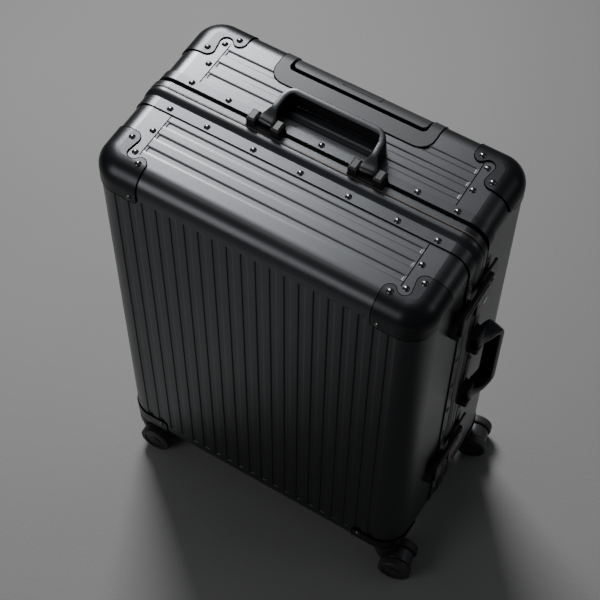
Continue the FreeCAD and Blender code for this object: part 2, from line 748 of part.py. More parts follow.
def latch(height):
    """Bar that turns on the plate's post, with a hook at its front end."""
    z = z_mid + height + latch_drop
    half = latch_height / 2
    bar = box((latch_x0, latch_front, z - half), (latch_x1, latch_back, z + half))
    hook = box((latch_x0, latch_front, z - half - hook_drop), (latch_x1, latch_front + hook_width, z))
    body = fuse([bar, hook])
    body = body.makeFillet(2.0, parallel_edges(body, V(1, 0, 0)))
    body = body.makeChamfer(1.2, flat_edges(body, "X", latch_x1))
    rib = box((latch_x1 - 0.1, latch_front + 6, z - 1.5), (latch_x1 + 0.8, latch_pivot_y - 8, z + 1.5))
    post = rod(latch_pin_r + running, (plate_x, latch_pivot_y, z), (latch_x1 + 3, latch_pivot_y, z))
    return body.fuse(rib).cut(post)


def keeper(height):
    """Plate on the front flange with a lip below and in front of the hook."""
    z = z_mid + height + latch_drop
    x0 = half_w + flange_height + fit_gap
    top_z = z - latch_height / 2 - 2
    low_z = z - latch_height / 2 - hook_drop - keeper_gap - keeper_rail
    front_y = latch_front - keeper_front_gap - keeper_rail
    floor_plate = box((x0, front_y, low_z), (latch_x0 - fit_gap, -bead_width - 1, top_z))
    lower = box((x0, front_y, low_z), (latch_x1, latch_front + hook_width, low_z + keeper_rail))
    front = box((x0, front_y, low_z), (latch_x1, front_y + keeper_rail, low_z + keeper_lip))
    rest = box((half_w, front_y, low_z), (x0, -flange_edge - 0.5, top_z))
    body = fuse([floor_plate, lower, front, rest])
    return body.makeFillet(1.0, flat_edges(body, "X", latch_x1))


lock_plates = [lock_plate(h) for h in lock_heights]
pockets = [housing_pocket(h) for h in lock_heights]
rear_frame = rear_frame.cut(Part.makeCompound(pockets))
rear_side_sheets = [s.cut(Part.makeCompound(pockets)) for s in rear_side_sheets]
keepers = [keeper(h) for h in lock_heights]

# ---- hinges and side feet, left side ----
hinge_x = -half_w - hinge_offset


def knuckle(z0, z1, bore):
    return rod(knuckle_r, (hinge_x, 0, z0), (hinge_x, 0, z1)).cut(
        rod(hinge_pin_r + bore, (hinge_x, 0, z0 - 1), (hinge_x, 0, z1 + 1)))


def hinge_leaf(z, side, spans, bore):
    """Leaf over the bead and the flange; side is -1 for the lid, and spans are its knuckles."""
    outer_x = -half_w - bead_height - fit_gap
    y0, y1 = sorted((side * (parting + 0.5), side * (flange_edge - 1)))
    plate = box((outer_x - leaf, y0, z - hinge_length / 2), (outer_x, y1, z + hinge_length / 2))
    y0, y1 = sorted((side * (bead_width + 1), side * (flange_edge - 1)))
    pad = box((outer_x - leaf, y0, z - hinge_length / 2),
              (-half_w - flange_height - fit_gap, y1, z + hinge_length / 2))
    holes = [rod(knuckle_r + 0.3, (hinge_x, 0, z + a), (hinge_x, 0, z + b)) for a, b in spans[1]]
    pieces = [plate, pad] + [knuckle(z + a, z + b, bore) for a, b in spans[0]]
    drills = rivet_holes(hinge_places)
    drills = drills if side < 0 else [mirror_y(d) for d in drills]
    body = fuse(pieces).cut(Part.makeCompound(holes + drills))
    return body.cut(rod(hinge_pin_r + bore, (hinge_x, 0, z - hinge_length), (hinge_x, 0, z + hinge_length)))


third = hinge_length / 6
middle_knuckle = [(-third, third)]
end_knuckles = [(-3 * third, -third - fit_gap), (third + fit_gap, 3 * third)]
wide_middle = [(-third - fit_gap, third + fit_gap)]
wide_ends = [(-3 * third - 1, -third), (third, 3 * third + 1)]
front_leaves = [hinge_leaf(z_mid + h, -1, (middle_knuckle, wide_ends), running) for h in hinge_heights]
rear_leaves = [hinge_leaf(z_mid + h, 1, (end_knuckles, wide_middle), 0.02) for h in hinge_heights]
hinge_pins = [rod(hinge_pin_r, (hinge_x, 0, z_mid + h - 3 * third), (hinge_x, 0, z_mid + h + 3 * third))
              for h in hinge_heights]


def side_foot(y, z):
    """Rubber foot, a cone with a rounded rim."""
    foot = Part.makeCone(foot_radius, foot_radius - 2, foot_height, V(-half_w, y, z), V(-1, 0, 0))
    return foot.makeFillet(1.2, flat_edges(foot, "X", -half_w - foot_height))


front_feet = [side_foot(-foot_y, z_mid + s * foot_z) for s in sides]
rear_feet = [side_foot(foot_y, z_mid + s * foot_z) for s in sides]


# ---- casters ----
def caster_housing(x, y):
    """Round socket that wraps up round a bottom corner, with a boss for the swivel's stem."""
    depth = front_depth if y < 0 else rear_depth
    seat = full_case(protector_seat + fit_gap, depth)
    block = box((-half_w - socket_rim, -depth - socket_rim, housing_bottom),
                (half_w + socket_rim, depth + socket_rim, housing_bottom + housing_height))
    shadow = block.makeFillet(corner_radius + socket_rim, parallel_edges(block, V(0, 0, 1)))
    cap = rod(housing_r, (x, y, housing_bottom), (x, y, housing_bottom + housing_height)).common(shadow)
    boss = rod(boss_r, (x, y, boss_bottom), (x, y, housing_bottom + 1))
    body = fuse([cap, boss]).cut(seat)
    return body.cut(rod(stem_r + running, (x, y, boss_bottom - 1), (x, y, boss_bottom + stem_length + 0.5)))


def turned(shape, x, y, angle):
    """Carry a caster piece from its own axes, stem on Z and trail along +X, to its pivot."""
    copy = shape.copy()
    copy.rotate(V(0, 0, 0), V(0, 0, 1), angle)
    copy.translate(V(x, y, 0))
    return copy


def fork():
    """Swivel: a round fender between the wheels, a base under the boss and a stem inside it."""
    fender = rod(fork_radius, (trail, -fork_half, wheel_radius), (trail, fork_half, wheel_radius))
    fender = fender.makeFillet(1.5, [e for y in (-fork_half, fork_half) for e in flat_edges(fender, "Y", y)])
    base = rod(boss_r, (0, 0, wheel_radius), (0, 0, boss_bottom - fit_gap))
    web = box((0, -boss_r + 1, wheel_radius), (trail, boss_r - 1, boss_bottom - fit_gap))
    clear = rod(boss_r + 0.6, (0, 0, boss_bottom - fit_gap), (0, 0, 60))
    stem = rod(stem_r, (0, 0, boss_bottom - 2), (0, 0, boss_bottom + stem_length))
    body = fuse([fuse([fender, base, web]).cut(clear), stem])
    return body.cut(rod(axle_r + 0.02, (trail, -20, wheel_radius), (trail, 20, wheel_radius)))


def wheel(side):
    """One tyred wheel: rounded tread, dished outer face, hub and bore."""
    y0, y1 = sorted((side * wheel_gap, side * (wheel_gap + wheel_width)))
    disc = rod(wheel_radius, (trail, y0, wheel_radius), (trail, y1, wheel_radius))
    disc = disc.makeFillet(3.0, flat_edges(disc, "Y", y0) + flat_edges(disc, "Y", y1))
    face = side * (wheel_gap + wheel_width)
    d0, d1 = sorted((face - side * dish_depth, face + side * 1))
    dish = rod(dish_r, (trail, d0, wheel_radius), (trail, d1, wheel_radius))
    h0, h1 = sorted((face - side * (dish_depth + 1), face - side * 0.6))
    hub = rod(hub_r, (trail, h0, wheel_radius), (trail, h1, wheel_radius))
    bore_end = face - side * 2.5
    b0, b1 = sorted((side * (wheel_gap - 1), bore_end))
    bore = rod(axle_r + running, (trail, b0, wheel_radius), (trail, b1, wheel_radius))
    return disc.cut(dish).fuse(hub).cut(bore)


axle_half = wheel_gap + wheel_width - 3.0
axle = rod(axle_r, (trail, -axle_half, wheel_radius), (trail, axle_half, wheel_radius))
caster_places = {name: ((1 if "right" in name else -1) * pivot_x, (-1 if "front" in name else 1) * pivot_back)
                 for name in caster_angles}
front_housings = [caster_housing(*caster_places[n]) for n in caster_places if "front" in n]
rear_housings = [caster_housing(*caster_places[n]) for n in caster_places if "rear" in n]

# ---- lining and packing straps ----
lining_out = sheet + channel_depth + lining_gap
trolley_cover = slot_front - tray_wall - 2 * fit_gap     # the rear lining's flat back panel
def lining_case(inwards, depth):
    return full_case(-lining_out - inwards, depth)


lid_room = box((-half_w, -front_depth, z_bottom), (half_w, -bead_width - 0.6, z_top))
front_lining = lining_case(0, front_depth).cut(lining_case(lining, front_depth)).common(lid_room)
base_room = box((-half_w, bead_width + 0.6, z_bottom), (half_w, trolley_cover, z_top))
base_hollow = box((-half_w, 0, z_bottom), (half_w, trolley_cover - lining, z_top))
base_inside = lining_case(lining, rear_depth).common(base_hollow)
rear_lining = lining_case(0, rear_depth).common(base_room).cut(base_inside)
rear_lining = rear_lining.cut(Part.makeCompound(pockets))


def straps(y):
    """Two straps crossed behind a buckle, ending at the lining's side walls."""
    reach_x = half_w - lining_out - lining - fit_gap
    bars = []
    for s in sides:
        ends = [V(-reach_x, 0, -s * strap_rise), V(reach_x, 0, s * strap_rise)]
        lift = V(0, 0, strap_width / 2)
        face = Part.Face(Part.makePolygon([ends[0] - lift, ends[1] - lift, ends[1] + lift, ends[0] + lift,
                                           ends[0] - lift]))
        bars.append(face.extrude(V(0, strap_thickness, 0)))
    cross = fuse(bars)
    cross.translate(V(0, y, z_mid))
    toward = -1 if y > 0 else 1
    y0, y1 = sorted((y + (strap_thickness if toward > 0 else 0) + toward * fit_gap,
                     y + (strap_thickness if toward > 0 else 0) + toward * (fit_gap + buckle_thickness)))
    buckle = rounded_prism((-buckle_half, y0, z_mid - buckle_half * 0.8),
                           (buckle_half, y1, z_mid + buckle_half * 0.8), V(0, 1, 0), 8)
    return [cross, buckle]


# ---- hand over every node ----
export("front_shell", front_shell)
export("front_side_sheets", side_sheets)
export("front_frame", front_frame)
export("front_corners", front_corners)
export("front_rivets", front_rivets)
export("front_lining", front_lining)
export("front_straps", straps(-strap_y - strap_thickness))
export("front_hinge_leaves", front_leaves)
export("front_side_feet", front_feet)
export("front_caster_sockets", front_housings)
export("latch_keepers", keepers)
export("rear_shell", rear_shell)
export("rear_side_sheets", rear_side_sheets)
export("rear_frame", rear_frame)
export("rear_corners", rear_corners)
export("rear_rivets", rear_rivets)
export("rear_lining", rear_lining)
export("rear_straps", straps(strap_y))
export("rear_hinge_leaves", rear_leaves)
export("hinge_pins", hinge_pins)
export("rear_side_feet", rear_feet)
export("rear_caster_sockets", rear_housings)
export("frame_seal", seal)
export("trolley_bezel", trolley_bezel)
export("trolley_outer_tubes", outer_tubes)
export("trolley_middle_tubes", middle_tubes)
export("trolley_inner_tubes", inner_tubes)
export("trolley_foot", trolley_foot)
export("trolley_grip", trolley_grip)
export("trolley_button", trolley_button)
export("top_handle_mounts", top_mount)
export("side_handle_mounts", side_mount)
export("handle_pins", handle_pins)
export("top_handle", top_handle)
export("side_handle", side_handle)
export("lock_plates", lock_plates)
export("lock_indicators", [indicator(h) for h in lock_heights])
for label, height in zip(("upper", "lower"), lock_heights):
    export(label + "_latch", latch(height))
    export(label + "_key_cylinder", key_cylinder(height))
    for number, centre in enumerate(dial_centres(height), 1):
        export(label + "_dial_" + str(number), dial(centre))
for name, (x, y) in caster_places.items():
    angle = caster_angles[name]
    export(name + "_fork", turned(fork(), x, y, angle))
    export(name + "_axle", turned(axle, x, y, angle))
    export(name + "_wheels", [turned(wheel(s), x, y, angle) for s in sides])
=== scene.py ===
"""The look of an aluminium-frame hard-shell suitcase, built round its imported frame, in metres."""
import math

import bmesh
import bpy
import numpy as np
from mathutils import Matrix, Vector


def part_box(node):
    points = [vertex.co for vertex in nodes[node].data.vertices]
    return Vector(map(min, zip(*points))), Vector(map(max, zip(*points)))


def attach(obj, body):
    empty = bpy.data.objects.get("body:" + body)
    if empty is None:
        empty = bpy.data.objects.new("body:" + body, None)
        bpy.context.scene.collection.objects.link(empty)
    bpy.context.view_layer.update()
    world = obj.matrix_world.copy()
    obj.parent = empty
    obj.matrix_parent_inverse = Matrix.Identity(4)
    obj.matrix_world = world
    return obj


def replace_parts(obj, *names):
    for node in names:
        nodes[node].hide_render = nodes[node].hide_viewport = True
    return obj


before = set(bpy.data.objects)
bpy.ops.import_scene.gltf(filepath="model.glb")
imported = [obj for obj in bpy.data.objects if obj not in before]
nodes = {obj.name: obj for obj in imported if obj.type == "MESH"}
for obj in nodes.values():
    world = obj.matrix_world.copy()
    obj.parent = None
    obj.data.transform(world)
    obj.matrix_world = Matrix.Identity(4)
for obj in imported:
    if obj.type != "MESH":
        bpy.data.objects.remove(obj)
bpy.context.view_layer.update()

# ---- camera, lights and floor ----
# A long lens above the case's front right corner, a pale floor, and a large soft light behind the
# case on its left that the top face mirrors, as a product is lit on a table.
view_azimuth = math.radians(30.53)
view_elevation = math.radians(57.88)
view_roll = math.radians(0.825)
view_distance = 1.8148
view_lens, view_sensor = 94.07, 36
aim_from_top = Vector((0.0608, -0.1236, -0.0862))
case_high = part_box("rear_shell")[1].z

toward = Vector((math.sin(view_azimuth) * math.cos(view_elevation),
                 -math.cos(view_azimuth) * math.cos(view_elevation), math.sin(view_elevation)))
level = Vector((math.cos(view_azimuth), math.sin(view_azimuth), 0))
across = level * math.cos(view_roll) + toward.cross(level) * math.sin(view_roll)
camera_data = bpy.data.cameras.new("camera")
camera_data.lens = view_lens
camera_data.sensor_width = view_sensor
camera_data.clip_end = 30
camera = bpy.data.objects.new("camera", camera_data)
bpy.context.scene.collection.objects.link(camera)
camera_place = Matrix((across, toward.cross(across), toward)).transposed().to_4x4()
camera_place.translation = Vector((0, 0, case_high)) + aim_from_top + toward * view_distance
camera.matrix_world = camera_place
bpy.context.scene.camera = camera


def soft_light(name, place, target, size, power, spread=180):
    """Square area light at a place, turned to face a target; spread is its cone in degrees."""
    data = bpy.data.lights.new(name, "AREA")
    data.shape = "SQUARE"
    data.size = size
    data.energy = power
    data.spread = math.radians(spread)
    lamp = bpy.data.objects.new(name, data)
    bpy.context.scene.collection.objects.link(lamp)
    lamp.location = place
    lamp.rotation_euler = (Vector(target) - Vector(place)).to_track_quat("-Z", "Y").to_euler()


soft_light("key_light", (-1.06, 1.06, case_high + 1.0), (-0.05, 0.05, case_high), 0.75, 36, spread=150)
soft_light("top_light", (-0.9, 0.6, 3.4), (0, 0, 0), 1.6, 7)
soft_light("right_light", (2.2, 0.9, 1.9), (0.2, 0, 0.45), 0.9, 2.2)
soft_light("front_fill", (-1.3, -2.7, 1.7), (0, 0, 0.35), 1.5, 14)
world = bpy.data.worlds.new("studio")
world.use_nodes = True
world.node_tree.nodes["Background"].inputs["Color"].default_value = (0.80, 0.83, 0.88, 1)
world.node_tree.nodes["Background"].inputs["Strength"].default_value = 0.08
bpy.context.scene.world = world


def mesh_object(name, points, faces, smooth=True, closed=True):
    """Link a new mesh made from an array of points and a list of faces; the faces of a closed one
    are turned outwards."""
    mesh = bpy.data.meshes.new(name)
    mesh.from_pydata(np.asarray(points, float).tolist(), [], faces)
    if closed:
        shape = bmesh.new()
        shape.from_mesh(mesh)
        bmesh.ops.recalc_face_normals(shape, faces=shape.faces)
        shape.to_mesh(mesh)
        shape.free()
    mesh.update()
    mesh.polygons.foreach_set("use_smooth", np.full(len(mesh.polygons), smooth))
    piece = bpy.data.objects.new(name, mesh)
    bpy.context.scene.collection.objects.link(piece)
    return piece


floor_reach = 9.0
floor_corners = np.array([(-1, -1, 0), (1, -1, 0), (1, 1, 0), (-1, 1, 0)]) * floor_reach
floor = mesh_object("floor", floor_corners, [(0, 1, 2, 3)], smooth=False, closed=False)


def new_group(name, inputs, outputs):
    """Empty node group with named sockets, and its input and output nodes."""
    tree = bpy.data.node_groups.new(name, "ShaderNodeTree")
    for socket, kind, value in inputs:
        made = tree.interface.new_socket(name=socket, in_out="INPUT", socket_type=kind)
        made.default_value = value
    for socket, kind in outputs:
        tree.interface.new_socket(name=socket, in_out="OUTPUT", socket_type=kind)
    return tree, tree.nodes.new("NodeGroupInput"), tree.nodes.new("NodeGroupOutput")


def math_node(tree, operation, *values):
    """Math node whose inputs are numbers or other nodes' outputs."""
    node = tree.nodes.new("ShaderNodeMath")
    node.operation = operation
    for slot, value in zip(node.inputs, values):
        if isinstance(value, (int, float)):
            slot.default_value = value
        else:
            tree.links.new(value, slot)
    return node.outputs["Value"]


def new_material(name, colour, metallic, roughness):
    """Material with a plain Principled shader; its nodes are added by the section that uses it."""
    material = bpy.data.materials.new(name)
    material.use_nodes = True
    shader = material.node_tree.nodes["Principled BSDF"]
    shader.inputs["Base Color"].default_value = (*colour, 1)
    shader.inputs["Metallic"].default_value = metallic
    shader.inputs["Roughness"].default_value = roughness
    return material, material.node_tree, shader


def build_grain():
    """Grain group for drawn, blasted or moulded surfaces. Height is fine noise on object coordinates
    times Stretch. Tone goes from Low to High as 0.35 fine + 0.65 patchy noise goes from 0.3 to 0.7."""
    tree, start, end = new_group("grain", [
        ("Stretch", "NodeSocketVector", (1, 1, 1)), ("Fine", "NodeSocketFloat", 900.0),
        ("Patch", "NodeSocketFloat", 12.0), ("Low", "NodeSocketFloat", 0.3),
        ("High", "NodeSocketFloat", 0.4)],
        [("Height", "NodeSocketFloat"), ("Tone", "NodeSocketFloat")])
    add, link = tree.nodes.new, tree.links.new
    place = add("ShaderNodeTexCoord")
    stretched = add("ShaderNodeVectorMath")
    stretched.operation = "MULTIPLY"
    link(place.outputs["Object"], stretched.inputs[0])
    link(start.outputs["Stretch"], stretched.inputs[1])
    fine = add("ShaderNodeTexNoise")
    fine.inputs["Detail"].default_value = 3.0
    link(stretched.outputs["Vector"], fine.inputs["Vector"])
    link(start.outputs["Fine"], fine.inputs["Scale"])
    patch = add("ShaderNodeTexNoise")
    patch.inputs["Detail"].default_value = 4.0
    link(place.outputs["Object"], patch.inputs["Vector"])
    link(start.outputs["Patch"], patch.inputs["Scale"])
    weighted = math_node(tree, "MULTIPLY", patch.outputs["Fac"], 0.65)
    both = math_node(tree, "MULTIPLY_ADD", fine.outputs["Fac"], 0.35, weighted)
    tone = add("ShaderNodeMapRange")
    tone.inputs["From Min"].default_value = 0.3
    tone.inputs["From Max"].default_value = 0.7
    link(both, tone.inputs["Value"])
    link(start.outputs["Low"], tone.inputs["To Min"])
    link(start.outputs["High"], tone.inputs["To Max"])
    link(fine.outputs["Fac"], end.inputs["Height"])
    link(tone.outputs["Result"], end.inputs["Tone"])
    return tree


grain = build_grain()


def add_bump(tree, height, depth):
    """Bump node of a given depth in metres from a height of 0 to 1."""
    bump = tree.nodes.new("ShaderNodeBump")
    bump.inputs["Distance"].default_value = depth
    bump.inputs["Strength"].default_value = 1.0
    tree.links.new(height, bump.inputs["Height"])
    return bump


def add_grain(tree, shader, stretch=(1, 1, 1), fine=900.0, patch=12.0, low=0.3, high=0.4, depth=0.00003):
    """Put the grain group behind a shader's roughness and normal; depth is in metres."""
    node = tree.nodes.new("ShaderNodeGroup")
    node.node_tree = grain
    for socket, value in zip(("Stretch", "Fine", "Patch", "Low", "High"), (stretch, fine, patch, low, high)):
        node.inputs[socket].default_value = value
    bump = add_bump(tree, node.outputs["Height"], depth)
    tree.links.new(node.outputs["Tone"], shader.inputs["Roughness"])
    tree.links.new(bump.outputs["Normal"], shader.inputs["Normal"])
    return bump


floor_material, tree, shader = new_material("pale_floor", (0.26, 0.26, 0.257), 0.0, 0.8)
add_grain(tree, shader, fine=220.0, patch=3.0, low=0.7, high=0.8, depth=0.0004)
floor.data.materials.append(floor_material)

# ---- shells and side sheets ----
# Pressed aluminium sheet, blasted and anodised black: a satin metal that shows the lamp as a soft
# grey sheen and falls to near black away from it.  The press leaves each channel a soft shoulder.
case_middle = (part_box("rear_shell")[0].z + case_high) / 2
channel_pitch = 0.0195
channel_half_length = 0.280
outer_channel_edge = 0.1895
top_channels = (0.044, 0.0645, 0.086)
top_channel_end, end_softness = 0.1585, 0.27
large_face_from, top_face_from = 0.125, 0.312


def build_shoulders():
    """Height of the sheet round its channels: 1 on the flat, falling smoothly to 0 over the band
    Inner to Outer away from the nearest channel's middle line.  Front and rear faces carry upright
    channels at odd half pitches; top and bottom faces carry three at fixed distances."""
    tree, start, end = new_group("channel_shoulders", [
        ("Inner", "NodeSocketFloat", 0.003), ("Outer", "NodeSocketFloat", 0.006)],
        [("Height", "NodeSocketFloat")])

    def node(operation, *values):
        return math_node(tree, operation, *values)

    def shoulder(distance, on_face):
        """Smooth step of the distance, and 1 wherever the point is not on the face."""
        ramp = tree.nodes.new("ShaderNodeMapRange")
        ramp.interpolation_type = "SMOOTHSTEP"
        tree.links.new(distance, ramp.inputs["Value"])
        tree.links.new(start.outputs["Inner"], ramp.inputs["From Min"])
        tree.links.new(start.outputs["Outer"], ramp.inputs["From Max"])
        return node("MAXIMUM", ramp.outputs["Result"], node("SUBTRACT", 1.0, on_face))

    place = tree.nodes.new("ShaderNodeTexCoord")
    split = tree.nodes.new("ShaderNodeSeparateXYZ")
    tree.links.new(place.outputs["Object"], split.inputs["Vector"])
    x, y, z = split.outputs
    wide, deep = node("ABSOLUTE", x), node("ABSOLUTE", y)
    tall = node("ABSOLUTE", node("SUBTRACT", z, case_middle))
    off_channel = node("ABSOLUTE", node("SUBTRACT", node("FRACT", node("DIVIDE", x, channel_pitch)), 0.5))
    upright = node("MAXIMUM", node("MULTIPLY", off_channel, channel_pitch),
                   node("SUBTRACT", tall, channel_half_length))
    upright = node("MAXIMUM", upright, node("SUBTRACT", wide, outer_channel_edge))
    near = [node("ABSOLUTE", node("SUBTRACT", deep, offset)) for offset in top_channels]
    flat = node("MINIMUM", node("MINIMUM", near[0], near[1]), near[2])
    beyond_end = node("MULTIPLY", node("SUBTRACT", wide, top_channel_end), end_softness)
    flat = node("MAXIMUM", flat, beyond_end)
    face = shoulder(upright, node("GREATER_THAN", deep, large_face_from))
    top = shoulder(flat, node("GREATER_THAN", tall, top_face_from))
    tree.links.new(node("MINIMUM", face, top), end.inputs["Height"])
    return tree


def coat(material, names):
    """Give each CAD node one material."""
    for name in names:
        mesh = nodes[name].data
        mesh.materials.clear()
        mesh.materials.append(material)


sheet_grain = dict(fine=1400.0, patch=7.0, low=0.30, high=0.38, depth=0.00002)
shell_material, tree, shader = new_material("black_anodised_sheet", (0.105, 0.108, 0.115), 1.0, 0.36)
grain_bump = add_grain(tree, shader, **sheet_grain)
shoulders = tree.nodes.new("ShaderNodeGroup")
shoulders.node_tree = build_shoulders()
shoulders.inputs["Inner"].default_value = 0.0024
shoulders.inputs["Outer"].default_value = 0.0062
shoulder_bump = add_bump(tree, shoulders.outputs["Height"], 0.0006)
tree.links.new(shoulder_bump.outputs["Normal"], grain_bump.inputs["Normal"])
coat(shell_material, ("front_shell", "rear_shell"))
sheet_material, tree, shader = new_material("black_side_sheet", (0.105, 0.108, 0.115), 1.0, 0.36)
add_grain(tree, shader, **sheet_grain)
coat(sheet_material, ("front_side_sheets", "rear_side_sheets"))

# ---- frames ----
# Extruded aluminium profile, brushed along its length and anodised, riveted to each shell.  The
# bead beside the parting line rolls off towards the lid.
frame_material, tree, shader = new_material("anodised_frame", (0.09, 0.093, 0.10), 1.0, 0.32)
grain_bump = add_grain(tree, shader, stretch=(1, 9, 1), fine=500.0, patch=9.0, low=0.28, high=0.4,
                       depth=0.00002)
bead_place = tree.nodes.new("ShaderNodeTexCoord")
bead_split = tree.nodes.new("ShaderNodeSeparateXYZ")
bead_fall = tree.nodes.new("ShaderNodeMapRange")
bead_fall.interpolation_type = "SMOOTHSTEP"
bead_fall.inputs["From Min"].default_value = -0.0150
bead_fall.inputs["From Max"].default_value = -0.0035
tree.links.new(bead_place.outputs["Object"], bead_split.inputs["Vector"])
tree.links.new(bead_split.outputs["Y"], bead_fall.inputs["Value"])
bead_bump = add_bump(tree, bead_fall.outputs["Result"], 0.003)
tree.links.new(bead_bump.outputs["Normal"], grain_bump.inputs["Normal"])
coat(frame_material, ("front_frame", "rear_frame"))

# ---- corner protectors ----
# Eight drawn aluminium caps over the shells' corners, blasted and anodised a shade darker than the
# sheet, each held by rivets.
corner_material, tree, shader = new_material("satin_black_corner", (0.06, 0.062, 0.067), 1.0, 0.34)
add_grain(tree, shader, fine=1200.0, patch=11.0, low=0.30, high=0.40, depth=0.00002)
coat(corner_material, ("front_corners", "rear_corners"))

# ---- rivets ----
# Domed steel rivets, blackened and polished.  They are set from outside through sheet, frame and
# protectors, and hold the whole case together.
rivet_material, tree, shader = new_material("gloss_black_rivet", (0.16, 0.16, 0.165), 1.0, 0.2)
add_grain(tree, shader, fine=1500.0, patch=60.0, low=0.16, high=0.26, depth=0.00001)
coat(rivet_material, ("front_rivets", "rear_rivets"))

# ---- hinges, pins and axles ----
# Turned and pressed steel, oil-blackened: the three hinges and their pins, the handles' pins and
# the wheels' axles.
steel_material, tree, shader = new_material("blackened_steel", (0.05, 0.05, 0.053), 0.9, 0.35)
add_grain(tree, shader, fine=1200.0, patch=30.0, low=0.28, high=0.42, depth=0.00002)
coat(steel_material, [n for n in nodes if "hinge" in n or n.endswith("_axle") or n == "handle_pins"])

# ---- caster sockets, handle mounts, trolley foot and latches ----
# Injection-moulded nylon, black with a fine spark-eroded grain.  The sockets, mounts and foot are
# riveted or screwed to the shells; each latch turns on its lock.
plastic_material, tree, shader = new_material("moulded_black", (0.022, 0.022, 0.024), 0.0, 0.45)
add_grain(tree, shader, fine=1600.0, patch=25.0, low=0.38, high=0.5, depth=0.00004)
coat(plastic_material, [n for n in nodes if "caster" in n or "handle_mounts" in n])
coat(plastic_material, ("trolley_foot", "upper_latch", "lower_latch"))

# ---- caster forks ----
# Die-cast forks with a satin black coat, glossier than the sockets.  Each one turns freely on its
# socket's stem and holds a twin wheel.
fork_material, tree, shader = new_material("satin_fork", (0.075, 0.077, 0.082), 0.6, 0.38)
add_grain(tree, shader, fine=1400.0, patch=25.0, low=0.32, high=0.44, depth=0.00004)
coat(fork_material, [n for n in nodes if n.endswith("_fork")])

# ---- trolley bezel, grip and button ----
# Moulded in one tone with a satin coat, so that the stowed grip looks part of the bezel.  The bezel
# is let into the rear half's top and riveted from inside; the button clips into the grip.
bezel_material, tree, shader = new_material("satin_bezel", (0.04, 0.042, 0.046), 0.4, 0.42)
add_grain(tree, shader, fine=1800.0, patch=14.0, low=0.40, high=0.5, depth=0.00003)
coat(bezel_material, ("trolley_bezel", "trolley_grip", "trolley_button"))

# ---- feet and frame seal ----
# Moulded black rubber: two feet on each half's left side, which take the weight when the case lies
# down, and the seal pressed between the two frames.
rubber_material, tree, shader = new_material("black_rubber", (0.018, 0.018, 0.018), 0.0, 0.7)
add_grain(tree, shader, fine=900.0, patch=30.0, low=0.6, high=0.78, depth=0.00006)
coat(rubber_material, [n for n in nodes if "feet" in n or n == "frame_seal"])

# ---- wheels ----
# Twin wheels with polyurethane treads, cast over a hub and left matt.  Each pair rolls on its
# fork's axle.
tyre_material, tree, shader = new_material("wheel_polyurethane", (0.03, 0.03, 0.032), 0.0, 0.5)
add_grain(tree, shader, fine=700.0, patch=30.0, low=0.42, high=0.6, depth=0.00005)
coat(tyre_material, [n for n in nodes if n.endswith("_wheels")])

# ---- trolley tubes ----
# Drawn aluminium tubes, three sizes one inside the other, polished along their length and left
# bright.  The outer pair is fixed inside the rear half.
tube_material, tree, shader = new_material("drawn_tube", (0.32, 0.33, 0.35), 1.0, 0.3)
add_grain(tree, shader, stretch=(1, 1, 0.05), fine=900.0, patch=9.0, low=0.24, high=0.36, depth=0.00002)
coat(tube_material, [n for n in nodes if n.endswith("_tubes")])

# ---- locks ----
# Each lock has a zinc plate and keeper, plated black, with white moulded dials, a bright key
# cylinder and a red mark.
plate_material, tree, shader = new_material("lock_plate_metal", (0.10, 0.102, 0.11), 0.85, 0.36)
add_grain(tree, shader, stretch=(1, 1, 8), fine=500.0, patch=20.0, low=0.3, high=0.42, depth=0.00002)
coat(plate_material, ("lock_plates", "latch_keepers"))
dial_material, tree, shader = new_material("dial_plastic", (0.72, 0.72, 0.70), 0.0, 0.4)
add_grain(tree, shader, fine=1500.0, patch=60.0, low=0.35, high=0.48, depth=0.00002)
coat(dial_material, [n for n in nodes if "_dial_" in n])
key_material, tree, shader = new_material("key_steel", (0.75, 0.75, 0.76), 1.0, 0.18)
add_grain(tree, shader, fine=1500.0, patch=90.0, low=0.14, high=0.26, depth=0.00001)
coat(key_material, [n for n in nodes if "key_cylinder" in n])
mark_material, tree, shader = new_material("indicator_red", (0.80, 0.05, 0.06), 0.0, 0.3)
add_grain(tree, shader, fine=1500.0, patch=90.0, low=0.25, high=0.35, depth=0.00001)
coat(mark_material, ("lock_indicators",))

# ---- painted shadow lines round the protectors and the bezel ----
# A near-black bead along each trim's edge: painted shade that stands for the dark gap and contact shadow
# round it.
# It lies on the closed case's surface: a block with one radius upright and another round its rims.
# Painted shade: near black with almost no specular, so the line stays dark even where the sheet shows the
# lamp's sheen.
shadow_line_material, tree, shader = new_material("painted_shadow_line", (0.004, 0.004, 0.004), 0.0, 0.6)
shader.inputs["Specular IOR Level"].default_value = 0.02
add_grain(tree, shader, fine=900.0, patch=40.0, low=0.5, high=0.65, depth=0.00003)
half_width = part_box("rear_shell")[1].x
half_depths = {"lid": -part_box("front_shell")[0].y, "case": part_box("rear_shell")[1].y}
half_height = case_high - case_middle
upright_radius, rim_radius = 0.036, 0.026
shadow_line_profile = np.array([(-0.65, -0.2), (-0.6, 1.4), (-0.3, 1.66),
                           (0.3, 1.66), (0.6, 1.4), (0.65, -0.2)]) / 1000
bezel_shadow_line_height = 0.75
line_step = 0.0025


def outside_case(points, depth):
    """Signed distance outside a case this deep on both halves: the plan's rounded-rectangle distance
    and the height's, joined by the rim radius as hypot(plan, tall) - rim_radius."""
    flat_x = np.abs(points[:, 0]) - (half_width - upright_radius)
    flat_y = np.abs(points[:, 1]) - (depth - upright_radius)
    plan = np.hypot(np.maximum(flat_x, 0), np.maximum(flat_y, 0))
    plan = plan + np.minimum(np.maximum(flat_x, flat_y), 0) - upright_radius + rim_radius
    tall = np.abs(points[:, 2] - case_middle) - half_height + rim_radius
    rim = np.hypot(np.maximum(plan, 0), np.maximum(tall, 0))
    return rim + np.minimum(np.maximum(plan, tall), 0) - rim_radius


